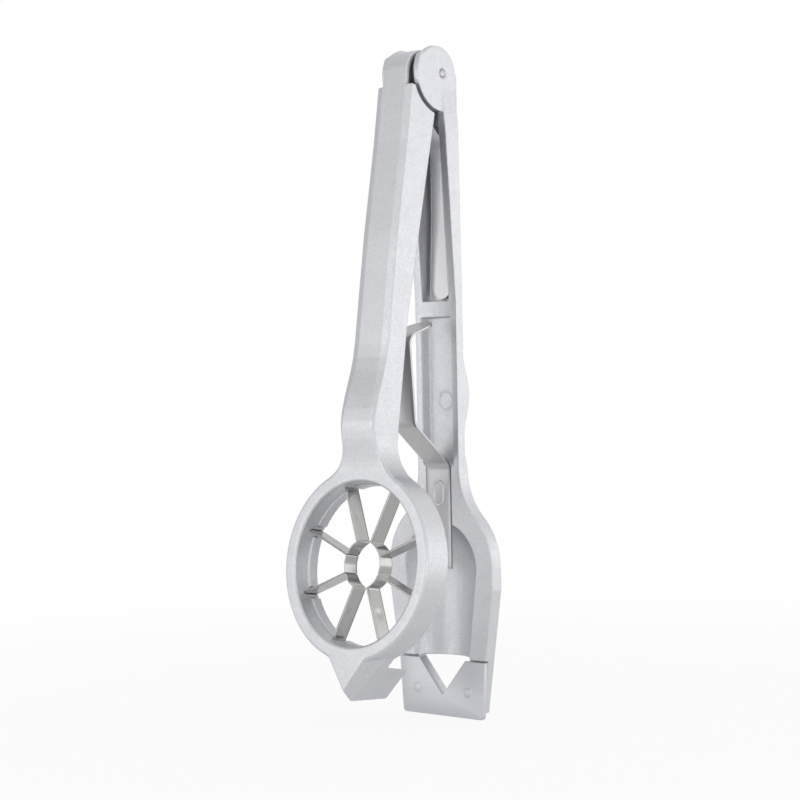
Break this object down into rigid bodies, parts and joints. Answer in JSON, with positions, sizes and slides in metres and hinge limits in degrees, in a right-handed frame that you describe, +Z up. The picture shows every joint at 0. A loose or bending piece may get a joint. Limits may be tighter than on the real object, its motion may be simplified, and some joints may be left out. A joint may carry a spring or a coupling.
{
  "type": "radish rose cutter",
  "caption": "Hinged cast-aluminium squeeze tool that cuts a radish into a rose: a ring with a star of steel blades on the front lever closes on a spoon seat, and a wedge nips the root.",
  "frame": {"origin": "middle of the toe edge of the notched plate, at mid thickness", "axes": "+Z up along the rear lever to the hinge, +Y to the back, +X to the right, along the hinge pin"},
  "size_m": [0.0496, 0.0485, 0.1763],
  "materials": {
    "cast_aluminium": "blasted casting, satin",
    "blade_steel": "rolled strip, satin",
    "spring_steel": "rolled strip, satin",
    "pin_steel": "ground",
    "rivet_aluminium": "headed, satin"
  },
  "bodies": {
    "rear": {"rear_lever": "cast_aluminium", "hinge_pin": "pin_steel", "ejector_spring": "spring_steel", "spring_rivet": "rivet_aluminium", "notch_blade": "blade_steel", "notch_rivet_left": "rivet_aluminium", "notch_rivet_right": "rivet_aluminium"},
    "front": {"front_lever": "cast_aluminium", "return_spring": "spring_steel", "petal_blade_1": "blade_steel", "petal_blade_2": "blade_steel", "petal_blade_3": "blade_steel", "petal_blade_4": "blade_steel", "petal_blade_5": "blade_steel", "petal_blade_6": "blade_steel", "petal_blade_7": "blade_steel", "petal_blade_8": "blade_steel"}
  },
  "joints": [
    {"name": "lever_hinge", "type": "hinge", "parent": "rear", "child": "front", "pos_m": [0, -0.00325, 0.1693], "axis": [1, 0, 0], "range_deg": [0, 8.5], "stiffness_Nm_per_rad": 3, "springref_deg": -5.73, "deforming": ["return_spring", "ejector_spring"]}
  ]
}
